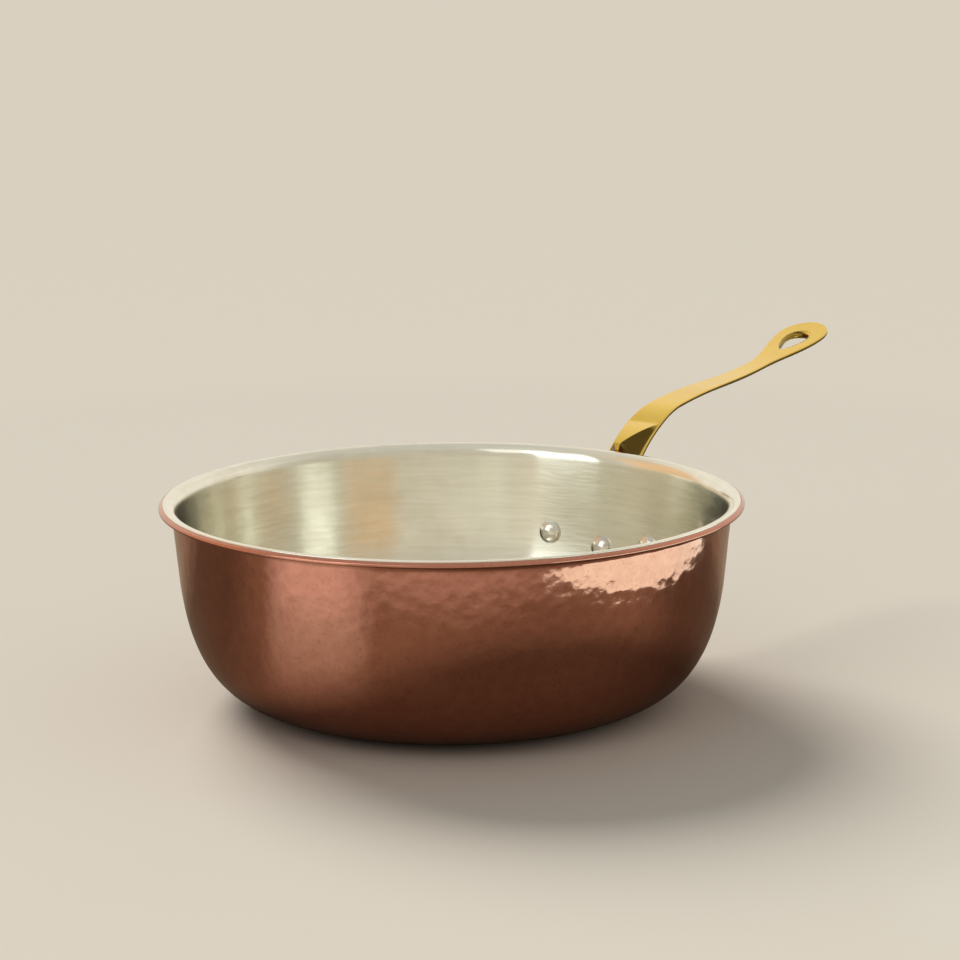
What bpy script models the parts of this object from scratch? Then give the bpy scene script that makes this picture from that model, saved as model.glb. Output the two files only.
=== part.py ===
"""Copper saute pan: a hammered copper body, its tin lining, a cast brass handle and three rivets.

Metres, +Z up. The origin is the centre of the flat base, and the handle points along +X.
"""

import math

import bmesh
import bpy
from mathutils import Matrix, Vector
from mathutils.geometry import interpolate_bezier

# Clearance between two pieces that touch on the real pan
FIT_GAP = 0.0003

# Copper body, measured on its outer face: the lip, the wall and the round corner to the base
RIM_RADIUS = 0.1400
PAN_HEIGHT = 0.0983
LIP_REACH = 0.0062
WALL_LEAN = 0.0027
CORNER_HEIGHT = 0.0637
CORNER_RUN = 0.0548
BASE_PULL = 0.0316
SIDE_PULL = 0.0474
COPPER_THICKNESS = 0.0018

# Radii that follow from the rim
WALL_TOP_RADIUS = RIM_RADIUS - LIP_REACH
WALL_FOOT_RADIUS = WALL_TOP_RADIUS - WALL_LEAN
BASE_FLAT_RADIUS = WALL_FOOT_RADIUS - CORNER_RUN

# Poured lip: how far it starts below the rim, and how near to level it ends
LIP_DEPTH = 0.0060
LIP_TURN = math.radians(76)

# Tin lining, which stops short of the bare copper edge
TIN_THICKNESS = 0.0004
TIN_MARGIN = 0.0006

# Rivets: domed heads inside, lower heads outside
RIVET_DEPTH = 0.0494
RIVET_RISE = 0.0048
RIVET_SPACING = 0.0312
SHANK_RADIUS = 0.0030
HEAD_RADIUS = 0.0057
INNER_HEAD_HEIGHT = 0.0034
OUTER_HEAD_HEIGHT = 0.0022
HEAD_EDGE = 0.0006

# Handle flange: two wings that lie on the wall round the rivets
FLANGE_THICKNESS = 0.0030
WING_RADIUS = 0.0095
FLANGE_DROP = 0.0106
WING_LEAVE_ANGLE = math.radians(62)
SWEEP_OUT = 0.0120
SWEEP_UP = 0.0150

# Handle neck: where it leaves the wall, and its half-width as it passes the rim
NECK_START_DEPTH = 0.0290
NECK_PULL = 0.0116
ROOT_HALF_WIDTH = 0.0107
ROOT_DEPTH = 0.0120
SPINE_DEPTH = 0.0075
SPINE_RUN = 0.0260

# Ridge along the top of the neck, with a hollow flank on each side
RIDGE_HEIGHT = 0.0112
RIDGE_HALF_WIDTH = 0.0006
RIDGE_LENGTH = 0.0262
FLANK_HOLLOW = 2.0

# Front edge of the ridge: where it leaves the wall, and how far outside the lip it passes
FRONT_DEPTH = 0.0185
FRONT_GAP = 0.0008

# Grip: the bend at its start and its stations outward, each measured from the rim
BEND_REACH = 0.0471
BEND_RISE = 0.0182
BEND_SLOPE = math.radians(9.4)
BEND_PULL = 0.0326
GRIP_PULL = 0.0525
TIP_RISE = 0.0420
TIP_SLOPE = math.radians(17.9)
TIP_PULL = 0.0799

# Grip section: a flat top, thin sides and a rounded underside
SHOULDER_REACH = 0.0260
SHOULDER_HALF_WIDTH = 0.0101
BEND_HALF_WIDTH = 0.0089
WAIST_REACH = 0.1378
WAIST_HALF_WIDTH = 0.0061
PADDLE_REACH = 0.1849
PADDLE_HALF_WIDTH = 0.0145
PADDLE_ROUND = 0.0157
TIP_REACH = PADDLE_REACH + PADDLE_ROUND
SIDE_THICKNESS = 0.0018
GRIP_THICKNESS = 0.0042
EDGE_BEVEL = 0.0006

# Hanging hole: a teardrop whose ends are measured from the paddle's widest place
HOLE_POINT_BACK = 0.0224
HOLE_ROUND_PAST = 0.0043
HOLE_WIDTH = 0.0140

# Shape of the handle's section, as shares of its half-width and of the spine's
TOP_SHARE = 0.97
SPINE_SHARE = 0.80
SPINE_STATIONS = (1.0, 0.7, 0.4, 0.0)

# Number of facets along each curve
TURN_STEPS = 64
CORNER_STEPS = 10
LIP_STEPS = 5
EDGE_STEPS = 4
RIVET_STEPS = 18
DOME_STEPS = 4
ARC_STEPS = 6
WING_STEPS = 8
SWEEP_STEPS = 9
NECK_STEPS = 26
GRIP_STEPS = 16
TIP_STEPS = 7
FLANK_STEPS = 4
HOLE_STEPS = 14
LAST_TIP_ANGLE = math.radians(85)
MERGE = 0.000001

# Edges sharper than this stay crisp, and a bent offset line is stretched at most this much
CRISP_ANGLE = math.radians(35)
LONGEST_STRETCH = 2.0


def clear_scene():
    for item in list(bpy.data.objects):
        bpy.data.objects.remove(item, do_unlink=True)


def make_material(name, color, roughness):
    material = bpy.data.materials.new(name)
    material.use_nodes = True
    shader = material.node_tree.nodes["Principled BSDF"]
    shader.inputs["Base Color"].default_value = (*color, 1.0)
    shader.inputs["Metallic"].default_value = 1.0
    shader.inputs["Roughness"].default_value = roughness
    return material


def make_solid(name, mesh_data):
    """Object from a closed skin, with every face turned outward."""
    mesh = bpy.data.meshes.new(name)
    bmesh.ops.recalc_face_normals(mesh_data, faces=mesh_data.faces)
    mesh_data.to_mesh(mesh)
    mesh_data.free()
    solid = bpy.data.objects.new(name, mesh)
    bpy.context.scene.collection.objects.link(solid)
    return solid


def make_piece(name, mesh_data, material):
    piece = make_solid(name, mesh_data)
    piece.data.materials.append(material)
    piece.data.shade_smooth()
    piece.data.set_sharp_from_angle(angle=CRISP_ANGLE)
    return piece


def make_cutter(name, mesh_data):
    cutter = make_solid(name, mesh_data)
    cutter.hide_render = True
    cutter.display_type = "WIRE"
    return cutter


def cut(piece, cutter):
    boolean = piece.modifiers.new(cutter.name, "BOOLEAN")
    boolean.operation = "DIFFERENCE"
    boolean.solver = "EXACT"
    boolean.object = cutter


def bezier(start, start_handle, end_handle, end, count):
    """Points of one cubic curve in the plane, both ends included."""
    controls = [Vector(point).to_3d() for point in (start, start_handle, end_handle, end)]
    return [point.to_2d() for point in interpolate_bezier(*controls, count)]


def ease(share):
    """Smooth step from 0 to 1, level at both ends."""
    share = min(max(share, 0.0), 1.0)
    return share * share * (3.0 - 2.0 * share)


def blend(start, end, share):
    return start + (end - start) * share


def turn(profile, steps):
    """Closed profile of radius and height, turned round the Z axis."""
    mesh_data = bmesh.new()
    corners = [mesh_data.verts.new((radius, 0.0, height)) for radius, height in profile]
    edges = [mesh_data.edges.new(pair) for pair in zip(corners, corners[1:] + corners[:1])]
    bmesh.ops.spin(
        mesh_data, geom=corners + edges, cent=(0, 0, 0), axis=(0, 0, 1),
        angle=math.tau, steps=steps, use_merge=True)
    bmesh.ops.remove_doubles(mesh_data, verts=mesh_data.verts, dist=MERGE)
    return mesh_data


# The body's outer face, as radius and height from the centre of the base to the lip

def lip_stack():
    """Thickness of copper, gap and tin together at the lip."""
    return COPPER_THICKNESS + FIT_GAP + TIN_THICKNESS


def outer_profile():
    lip_start = PAN_HEIGHT - LIP_DEPTH
    taper = (WALL_TOP_RADIUS - WALL_FOOT_RADIUS) / (lip_start - CORNER_HEIGHT)
    corner = bezier(
        (BASE_FLAT_RADIUS, 0.0),
        (BASE_FLAT_RADIUS + BASE_PULL, 0.0),
        (WALL_FOOT_RADIUS - taper * SIDE_PULL, CORNER_HEIGHT - SIDE_PULL),
        (WALL_FOOT_RADIUS, CORNER_HEIGHT),
        CORNER_STEPS + 1)
    # The lip is a quarter turn that starts along the wall and ends almost level
    lean = math.atan(taper)
    edge_round = COPPER_THICKNESS / 2
    reach = RIM_RADIUS - edge_round * (1 - math.cos(LIP_TURN)) - WALL_TOP_RADIUS
    rise = LIP_DEPTH - lip_stack() * math.sin(LIP_TURN) + TIN_MARGIN * math.cos(LIP_TURN)
    lip = []
    for step in range(1, LIP_STEPS + 1):
        angle = blend(lean, LIP_TURN, step / LIP_STEPS)
        out = (math.cos(lean) - math.cos(angle)) / (math.cos(lean) - math.cos(LIP_TURN))
        up = (math.sin(angle) - math.sin(lean)) / (math.sin(LIP_TURN) - math.sin(lean))
        lip.append(Vector((WALL_TOP_RADIUS + reach * out, lip_start + rise * up)))
    wall_top = Vector((WALL_TOP_RADIUS, lip_start))
    return [Vector((0.0, 0.0))] + corner + [wall_top] + lip


def offset_profile(profile, distance):
    """The same profile moved sideways: plus is into the metal, minus is out of it."""
    moved = []
    for index, point in enumerate(profile):
        before = profile[max(index - 1, 0)]
        after = profile[min(index + 1, len(profile) - 1)]
        along_in = (point - before).normalized() if index else (after - point).normalized()
        along_out = (after - point).normalized() if after != point else along_in
        along = (along_in + along_out).normalized()
        sideways = Vector((-along.y, along.x))
        stretch = 1.0 / max(along.dot(along_in), 1.0 / LONGEST_STRETCH)
        place = point + sideways * distance * stretch
        if point.x == 0.0:
            place.x = 0.0
        moved.append(place)
    return moved


def rounded_end(start, end, outward):
    """Points of a half circle from start to end that bulges outward."""
    middle = (start + end) / 2
    across = start - middle
    return [middle + across * math.cos(angle) + outward * across.length * math.sin(angle)
            for angle in (math.pi * step / EDGE_STEPS for step in range(1, EDGE_STEPS))]


def make_body(material):
    outer = outer_profile()
    inner = offset_profile(outer, COPPER_THICKNESS)
    outward = (outer[-1] - outer[-2]).normalized()
    edge = rounded_end(outer[-1], inner[-1], outward)
    return make_piece("copper_body", turn(outer + edge + inner[::-1], TURN_STEPS), material)


def make_lining(material):
    outer = outer_profile()
    direction = (outer[-1] - outer[-2]).normalized()
    outer[-1] = outer[-1] - direction * TIN_MARGIN
    under = offset_profile(outer, COPPER_THICKNESS + FIT_GAP)
    face = offset_profile(outer, lip_stack())
    return make_piece("tin_lining", turn(under + face[::-1], TURN_STEPS), material)


def wall_at(height):
    """Radius of the outer face at a height, and the share of outward run per rise."""
    profile = outer_profile()
    for lower, upper in zip(profile, profile[1:]):
        if lower.y <= height <= upper.y and upper.y > lower.y:
            run = (upper.x - lower.x) / (upper.y - lower.y)
            return lower.x + run * (height - lower.y), run
    return WALL_TOP_RADIUS, 0.0


# Rivets, each square to the wall at its place

def rivet_places():
    """Name, turn about the Z axis and height of each rivet."""
    low = PAN_HEIGHT - RIVET_DEPTH
    high = low + RIVET_RISE
    step = RIVET_SPACING / wall_at(high)[0]
    return [("rivet_left", step, high), ("rivet_centre", 0.0, low), ("rivet_right", -step, high)]


def rivet_frame(angle, height):
    """Matrix whose Z axis leaves the pan square to the wall, from the outer face."""
    radius, run = wall_at(height)
    tilt = math.atan(run)
    return (Matrix.Rotation(angle, 4, "Z")
            @ Matrix.Translation((radius, 0.0, height))
            @ Matrix.Rotation(math.pi / 2 + tilt, 4, "Y"))


def head_sag(height):
    """How far the wall curves in towards a head's edge, round the pan and up or down it."""
    radius, run = wall_at(height)
    round_the_pan = HEAD_RADIUS ** 2 / (2 * radius)
    along_the_wall = [radius + run * step - wall_at(height + step)[0]
                      for step in (-HEAD_RADIUS, HEAD_RADIUS)]
    return round_the_pan + max(along_the_wall)


def dome(base_height, height, sign):
    """Profile of a domed head from its edge to the axis."""
    points = [(HEAD_RADIUS, base_height)]
    for step in range(DOME_STEPS + 1):
        angle = math.pi / 2 * step / DOME_STEPS
        points.append((HEAD_RADIUS * math.cos(angle),
                       base_height + sign * (HEAD_EDGE + (height - HEAD_EDGE) * math.sin(angle))))
    return points


def make_rivet(name, angle, height, material):
    inner_seat = -(lip_stack() + FIT_GAP + head_sag(height))
    outer_seat = FIT_GAP + FLANGE_THICKNESS + FIT_GAP
    outer_head = dome(outer_seat, OUTER_HEAD_HEIGHT, 1)
    inner_head = dome(inner_seat, INNER_HEAD_HEIGHT, -1)
    shank = [(SHANK_RADIUS, inner_seat), (SHANK_RADIUS, outer_seat)]
    rivet = turn(inner_head[::-1] + shank + outer_head, RIVET_STEPS)
    bmesh.ops.transform(rivet, matrix=rivet_frame(angle, height), verts=rivet.verts)
    return make_piece(name, rivet, material)


def rivet_hole_cutter(name, angle, height):
    """A plain pin through lining, wall and flange, one clearance wider than the shank."""
    length = 4 * (lip_stack() + FLANGE_THICKNESS)
    pin = bmesh.new()
    bmesh.ops.create_cone(
        pin, cap_ends=True, segments=RIVET_STEPS, radius1=SHANK_RADIUS + FIT_GAP,
        radius2=SHANK_RADIUS + FIT_GAP, depth=length)
    bmesh.ops.transform(pin, matrix=rivet_frame(angle, height), verts=pin.verts)
    return make_cutter(name, pin)


# Handle: one skin of cross-sections that follows the wall, leaves it and becomes the grip.
# The top line runs in the XZ plane, from the flange's lowest edge to the tip.

def wing_height():
    return PAN_HEIGHT - RIVET_DEPTH + RIVET_RISE


def flange_outline():
    """Half-width and height along the flange's edge, from its lowest point to the neck."""
    bottom = PAN_HEIGHT - RIVET_DEPTH - FLANGE_DROP
    climb = wing_height() - bottom
    # The lower edge is an arc that runs into the round end of the wing
    arc_radius = (RIVET_SPACING ** 2 + climb ** 2 - WING_RADIUS ** 2) / (2 * (climb - WING_RADIUS))
    arc_end = math.asin(RIVET_SPACING / (arc_radius - WING_RADIUS))
    points = []
    for step in range(1, ARC_STEPS + 1):
        angle = arc_end * step / ARC_STEPS
        points.append(Vector((arc_radius * math.sin(angle),
                              bottom + arc_radius * (1 - math.cos(angle)))))
    for step in range(1, WING_STEPS + 1):
        angle = blend(arc_end - math.pi / 2, WING_LEAVE_ANGLE, step / WING_STEPS)
        points.append(Vector((RIVET_SPACING + WING_RADIUS * math.cos(angle),
                              wing_height() + WING_RADIUS * math.sin(angle))))
    leave = points[-1]
    leave_way = Vector((-math.sin(WING_LEAVE_ANGLE), math.cos(WING_LEAVE_ANGLE)))
    neck = Vector((ROOT_HALF_WIDTH, PAN_HEIGHT - ROOT_DEPTH))
    sweep = bezier(leave, leave + leave_way * SWEEP_OUT, neck - Vector((0.0, SWEEP_UP)), neck,
                   SWEEP_STEPS + 1)
    return points + sweep[1:]


def neck_curve():
    """Top line from the wall to the start of the grip, as radius and height."""
    start_height = PAN_HEIGHT - NECK_START_DEPTH
    radius, run = wall_at(start_height)
    start = Vector((radius + FIT_GAP, start_height))
    end = Vector((RIM_RADIUS + BEND_REACH, PAN_HEIGHT + BEND_RISE))
    end_way = Vector((math.cos(BEND_SLOPE), math.sin(BEND_SLOPE)))
    up_the_wall = Vector((run, 1.0)).normalized()
    return bezier(start, start + up_the_wall * NECK_PULL, end - end_way * BEND_PULL, end,
                  NECK_STEPS + 1)


def grip_curve():
    """Top line from the start of the grip to its tip."""
    start = Vector((RIM_RADIUS + BEND_REACH, PAN_HEIGHT + BEND_RISE))
    start_way = Vector((math.cos(BEND_SLOPE), math.sin(BEND_SLOPE)))
    end = Vector((RIM_RADIUS + TIP_REACH, PAN_HEIGHT + TIP_RISE))
    end_way = Vector((math.cos(TIP_SLOPE), math.sin(TIP_SLOPE)))
    return bezier(start, start + start_way * GRIP_PULL, end - end_way * TIP_PULL, end,
                  GRIP_STEPS + 1)


def point_at(line, value, axis):
    """Point of a rising line where one coordinate takes a value, and the direction there."""
    for before, after in zip(line, line[1:]):
        if before[axis] <= value <= after[axis]:
            share = (value - before[axis]) / (after[axis] - before[axis])
            return before.lerp(after, share), (after - before).normalized()
    return line[-1], (line[-1] - line[-2]).normalized()


def grip_half_width(reach):
    """Half-width of the handle at a distance from the rim, past the shoulder."""
    if reach >= PADDLE_REACH:
        past = min((reach - PADDLE_REACH) / (TIP_REACH - PADDLE_REACH), 1.0)
        return PADDLE_HALF_WIDTH * math.sqrt(1.0 - past * past)
    if reach >= WAIST_REACH:
        share = ease((reach - WAIST_REACH) / (PADDLE_REACH - WAIST_REACH))
        return blend(WAIST_HALF_WIDTH, PADDLE_HALF_WIDTH, share)
    if reach >= BEND_REACH:
        share = ease((reach - BEND_REACH) / (WAIST_REACH - BEND_REACH))
        return blend(BEND_HALF_WIDTH, WAIST_HALF_WIDTH, share)
    share = (reach - SHOULDER_REACH) / (BEND_REACH - SHOULDER_REACH)
    return blend(SHOULDER_HALF_WIDTH, BEND_HALF_WIDTH, share)


def pan_fence():
    """Line the handle stays behind: up the wall, straight to the lip's edge, then upright."""
    wall = offset_profile(outer_profile(), -FIT_GAP)
    leave_height = PAN_HEIGHT - FRONT_DEPTH
    leave = Vector((wall_at(leave_height)[0] + FIT_GAP, leave_height))
    edge = RIM_RADIUS + FRONT_GAP
    lip = [Vector((edge, wall[-1].y)), Vector((edge, PAN_HEIGHT + RIDGE_HEIGHT))]
    return [point for point in wall if point.y < leave_height] + [leave] + lip


def room_to_pan(fence, place, way, most):
    """How far a point may move along a direction before it meets the fence."""
    room = most
    for start, end in zip(fence, fence[1:]):
        side = end - start
        cross = way.x * side.y - way.y * side.x
        if cross == 0.0:
            continue
        to_start = start - place
        along = (to_start.x * side.y - to_start.y * side.x) / cross
        share = (to_start.x * way.y - to_start.y * way.x) / cross
        if 0.0 <= share <= 1.0 and -FIT_GAP <= along < room:
            room = max(along, 0.0)
    return room


def handle_places():
    """Place, direction and half-width of each cross-section, from the flange to the tip."""
    neck = neck_curve()
    shoulder, _ = point_at(neck, RIM_RADIUS + SHOULDER_REACH, 0)
    outline = flange_outline()
    root, _ = point_at(neck, outline[-1].y, 1)
    places = []
    for half_width, height in ((point.x, point.y) for point in outline):
        if height < neck[0].y:
            radius, run = wall_at(height)
            places.append((Vector((radius + FIT_GAP, height)), Vector((run, 1.0)), half_width))
        else:
            places.append((*point_at(neck, height, 1), half_width))
    for point in neck:
        if point.y > root.y + MERGE:
            _, way = point_at(neck, point.x, 0)
            share = (point.x - root.x) / (shoulder.x - root.x)
            width = blend(ROOT_HALF_WIDTH, SHOULDER_HALF_WIDTH, share)
            if point.x > shoulder.x:
                width = grip_half_width(point.x - RIM_RADIUS)
            places.append((point, way, width))
    grip = grip_curve()
    for step in range(1, GRIP_STEPS + 1):
        reach = blend(BEND_REACH, PADDLE_REACH, step / GRIP_STEPS)
        places.append((*point_at(grip, RIM_RADIUS + reach, 0), grip_half_width(reach)))
    for step in range(1, TIP_STEPS + 1):
        turned = math.sin(LAST_TIP_ANGLE * step / TIP_STEPS)
        reach = blend(PADDLE_REACH, TIP_REACH, turned)
        places.append((*point_at(grip, RIM_RADIUS + reach, 0), grip_half_width(reach)))
    return places


def handle_rows():
    """Place, normal, half-width, top half-width, crest, side, depth and wrap of each row."""
    shoulder, _ = point_at(neck_curve(), RIM_RADIUS + SHOULDER_REACH, 0)
    spine_foot = PAN_HEIGHT - RIVET_DEPTH + HEAD_RADIUS + FIT_GAP
    fence = pan_fence()
    rows = []
    for place, way, half_width in handle_places():
        normal = Vector((-way.y, way.x)).normalized()
        below = min((shoulder - place).length / RIDGE_LENGTH, 1.0) if place.x < shoulder.x else 0.0
        crest = room_to_pan(fence, place, normal, RIDGE_HEIGHT * below)
        inner = half_width - EDGE_BEVEL
        top = blend(inner * TOP_SHARE, min(RIDGE_HALF_WIDTH, inner / 2), below)
        # The wall's thickness gives way to thin sides and a deep spine, and then to the grip
        risen = ease((place.y - spine_foot) / SPINE_RUN)
        passed = ease((place.x - RIM_RADIUS) / BEND_REACH)
        side = blend(FLANGE_THICKNESS, SIDE_THICKNESS, risen)
        depth = blend(blend(FLANGE_THICKNESS, SPINE_DEPTH, risen), GRIP_THICKNESS, passed)
        if place.x > RIM_RADIUS + PADDLE_REACH:
            depth = blend(side, depth, half_width / PADDLE_HALF_WIDTH)
        wrap = 1.0 - ease((place.y - PAN_HEIGHT + NECK_START_DEPTH) / NECK_START_DEPTH)
        rows.append((place, normal, half_width, top, crest, side, depth, wrap))
    return rows


def half_section(half_width, top, crest, side, depth):
    """Sideways and upward places from the middle of the top to the middle of the underside."""
    inner = half_width - EDGE_BEVEL
    spread = min(ROOT_HALF_WIDTH, inner * SPINE_SHARE)
    points = [(0.0, crest), (top / 2, crest), (top, crest)]
    for step in range(1, FLANK_STEPS + 1):
        share = step / FLANK_STEPS
        points.append((blend(top, inner, share), crest * (1 - share) ** FLANK_HOLLOW))
    points += [(half_width, -EDGE_BEVEL), (half_width, EDGE_BEVEL - side), (inner, -side)]
    points.append(((inner + spread) / 2, None))
    points += [(spread * share, None) for share in SPINE_STATIONS]
    reach = max(inner, spread) if inner < ROOT_HALF_WIDTH else ROOT_HALF_WIDTH
    return [(across, up if up is not None else
             -side - (depth - side) * math.cos(math.pi / 2 * min(across / reach, 1.0)))
            for across, up in points]


def section_ring(row):
    """World places of one closed cross-section."""
    place, normal, half_width, top, crest, side, depth, wrap = row
    half = half_section(half_width, top, crest, side, depth)
    ring = half + [(-across, up) for across, up in half[-2:0:-1]]
    points = []
    for across, up in ring:
        straight = Vector((place.x + normal.x * up, across, place.y + normal.y * up))
        angle = across / place.x
        out = place.x + normal.x * up
        wrapped = Vector((out * math.cos(angle), out * math.sin(angle), straight.z))
        points.append(straight.lerp(wrapped, wrap))
    return points


def make_handle(material):
    skin = bmesh.new()
    rings = [[skin.verts.new(point) for point in section_ring(row)] for row in handle_rows()]
    for lower, upper in zip(rings, rings[1:]):
        for index, corner in enumerate(lower):
            skin.faces.new((corner, lower[index - 1], upper[index - 1], upper[index]))
    skin.faces.new(rings[0])
    skin.faces.new(rings[-1])
    return make_piece("handle", skin, material)


def hanging_hole_cutter():
    """A teardrop prism: across it grows as sin t times sin t/2, from the point to the round end."""
    widest = 4 / (3 * math.sqrt(3))
    middle = RIM_RADIUS + PADDLE_REACH + (HOLE_ROUND_PAST - HOLE_POINT_BACK) / 2
    half_length = (HOLE_ROUND_PAST + HOLE_POINT_BACK) / 2
    low = PAN_HEIGHT + BEND_RISE - GRIP_THICKNESS
    prism = bmesh.new()
    corners = []
    for step in range(2 * HOLE_STEPS):
        angle = math.pi * (step / HOLE_STEPS)
        swell = math.sin(angle) * abs(math.sin(angle / 2)) / widest
        corners.append(prism.verts.new((
            middle - half_length * math.cos(angle), HOLE_WIDTH / 2 * swell, low)))
    outline = prism.faces.new(corners)
    walls = bmesh.ops.extrude_face_region(prism, geom=[outline])
    raised = [item for item in walls["geom"] if isinstance(item, bmesh.types.BMVert)]
    height = TIP_RISE - BEND_RISE + 2 * GRIP_THICKNESS
    bmesh.ops.translate(prism, verts=raised, vec=(0.0, 0.0, height))
    return make_cutter("hanging_hole", prism)


def main():
    clear_scene()
    copper = make_material("copper", (0.70, 0.34, 0.24), 0.28)
    tin = make_material("tin", (0.72, 0.71, 0.67), 0.30)
    brass = make_material("brass", (0.83, 0.62, 0.26), 0.16)
    steel = make_material("rivet_metal", (0.74, 0.73, 0.70), 0.18)
    body = make_body(copper)
    lining = make_lining(tin)
    handle = make_handle(brass)
    cut(handle, hanging_hole_cutter())
    for name, angle, height in rivet_places():
        make_rivet(name, angle, height, steel)
        cutter = rivet_hole_cutter(name + "_hole", angle, height)
        for piece in (body, lining, handle):
            cut(piece, cutter)


main()
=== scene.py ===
# %% [markdown]
# A copper saute pan, dressed for its picture
#
# The pan is six pieces: a hammered copper body, the tin that lines it, a cast brass handle and
# three rivets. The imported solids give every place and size. This lesson makes a finer skin for
# each of them, with hammer marks, wiped tin and polished brass.

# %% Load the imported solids
import math

import bmesh
import bpy
from mathutils import Matrix, Vector, noise
from mathutils.geometry import interpolate_bezier


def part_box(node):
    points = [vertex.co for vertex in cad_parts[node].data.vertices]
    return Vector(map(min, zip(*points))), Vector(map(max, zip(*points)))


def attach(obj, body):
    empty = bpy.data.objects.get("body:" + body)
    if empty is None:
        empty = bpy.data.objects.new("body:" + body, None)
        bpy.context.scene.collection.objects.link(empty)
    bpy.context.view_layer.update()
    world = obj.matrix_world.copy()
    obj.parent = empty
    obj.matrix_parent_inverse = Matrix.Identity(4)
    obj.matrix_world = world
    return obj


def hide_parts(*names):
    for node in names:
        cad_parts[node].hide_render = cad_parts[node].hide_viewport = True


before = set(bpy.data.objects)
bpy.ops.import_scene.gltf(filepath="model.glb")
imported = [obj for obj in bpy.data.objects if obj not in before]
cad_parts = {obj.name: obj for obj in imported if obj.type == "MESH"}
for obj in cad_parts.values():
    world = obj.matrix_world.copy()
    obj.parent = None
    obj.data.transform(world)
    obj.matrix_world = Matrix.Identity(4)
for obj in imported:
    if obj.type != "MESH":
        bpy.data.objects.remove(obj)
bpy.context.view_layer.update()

print("packed nodes:", ", ".join(sorted(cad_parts)))

# %% [markdown]
# Shared helpers
#
# Most pieces of a pan are turned or follow a curve. So the lesson needs smooth curves in a plane,
# a soft step from one value to the next, and one way to put a finished mesh into the scene.

# %% Curves and blends
MERGE = 0.000001


def bezier(start, start_pull, end_pull, end, steps):
    """Points of one cubic curve in a plane, both ends included."""
    knots = [Vector(knot).to_3d() for knot in (start, start_pull, end_pull, end)]
    return [point.to_2d() for point in interpolate_bezier(*knots, steps + 1)]


def ease(share):
    """Soft step from 0 to 1, level at both ends."""
    share = min(max(share, 0.0), 1.0)
    return share * share * (3.0 - 2.0 * share)


def blend(start, end, share):
    return start + (end - start) * share


def shares(steps, first=1):
    """Even shares of a run, up to 1."""
    return [step / steps for step in range(first, steps + 1)]


def moved_sideways(line, distance):
    """The same line shifted square to itself: plus goes to the left of its direction."""
    shifted = []
    for index, point in enumerate(line):
        before = line[max(index - 1, 0)]
        after = line[min(index + 1, len(line) - 1)]
        along = (after - before).normalized()
        place = point + Vector((-along.y, along.x)) * distance
        shifted.append(Vector((0.0, place.y)) if point.x == 0.0 else place)
    return shifted


# %% Put a finished mesh into the scene
def add_object(name, data):
    made = bpy.data.objects.new(name, data)
    bpy.context.scene.collection.objects.link(made)
    return made


def make_piece(name, mesh_data, crisp_angle):
    """Object for a closed skin: faces outward, smooth, with edges over an angle left crisp."""
    bmesh.ops.recalc_face_normals(mesh_data, faces=mesh_data.faces)
    mesh = bpy.data.meshes.new(name)
    mesh_data.to_mesh(mesh)
    mesh_data.free()
    mesh.shade_smooth()
    mesh.set_sharp_from_angle(angle=math.radians(crisp_angle))
    piece = add_object(name, mesh)
    print(name, len(mesh.polygons), "faces")
    return piece


def stands_for(piece, node, material):
    """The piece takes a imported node's place, rides with the pan and gets its finish."""
    piece.data.materials.clear()
    piece.data.materials.append(material)
    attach(piece, "root")
    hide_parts(node)


def turn(profile, steps):
    """A closed profile of radius and height, turned once round the upright axis."""
    skin = bmesh.new()
    corners = [skin.verts.new((point.x, 0.0, point.y)) for point in profile]
    edges = [skin.edges.new(pair) for pair in zip(corners, corners[1:] + corners[:1])]
    bmesh.ops.spin(
        skin, geom=corners + edges, cent=(0, 0, 0), axis=(0, 0, 1),
        angle=math.tau, steps=steps, use_merge=True)
    bmesh.ops.remove_doubles(skin, verts=skin.verts, dist=MERGE)
    return skin


# %% [markdown]
# The camera
#
# The photograph was taken from the side away from the handle, a little above the rim, with a long
# lens. The camera stands at that angle, so that both pictures can be laid over each other.

# %% Stand the camera where the photograph was taken
RIM_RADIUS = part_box("copper_body")[1].y
RIM_HEIGHT = 0.0983
CAMERA_AZIMUTH = math.radians(-52.5)
CAMERA_DISTANCE = 1.4
CAMERA_ELEVATION = math.radians(11.871)
LOOK_DOWN = math.radians(11.563)
LOOK_RIGHT = math.radians(0.569)
CAMERA_ROLL = math.radians(-0.433)
LENS = 109.41

camera_data = bpy.data.cameras.new("photo_camera")
camera_data.lens = LENS
camera = add_object("photo_camera", camera_data)
camera.matrix_world = (
    Matrix.Rotation(CAMERA_AZIMUTH, 4, "Z")
    @ Matrix.Translation((0.0, -CAMERA_DISTANCE * math.cos(CAMERA_ELEVATION),
                          RIM_HEIGHT + CAMERA_DISTANCE * math.sin(CAMERA_ELEVATION)))
    @ Matrix.Rotation(-LOOK_RIGHT, 4, "Z")
    @ Matrix.Rotation(math.pi / 2 - LOOK_DOWN, 4, "X")
    @ Matrix.Rotation(CAMERA_ROLL, 4, "Z"))
bpy.context.scene.camera = camera
print("camera at", [round(value, 3) for value in camera.matrix_world.translation])


def way_to(azimuth):
    """Level direction from the pan: azimuth 0 is towards the camera, a quarter turn its right."""
    turned = CAMERA_AZIMUTH + azimuth
    return Vector((math.sin(turned), -math.cos(turned), 0.0))


def from_camera(right, away, height=0.0):
    """A place measured to the camera's right and away from it."""
    return Matrix.Rotation(CAMERA_AZIMUTH, 4, "Z") @ Vector((right, away, height))


# %% [markdown]
# The body's profile
#
# A smith raises the body from one copper disc: flat base, round corner, a wall that leans out a
# little, and a lip rolled out past level. One profile line describes it, measured on the outer
# face. The inner face and the tin are the same line shifted sideways by a thickness.

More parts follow.
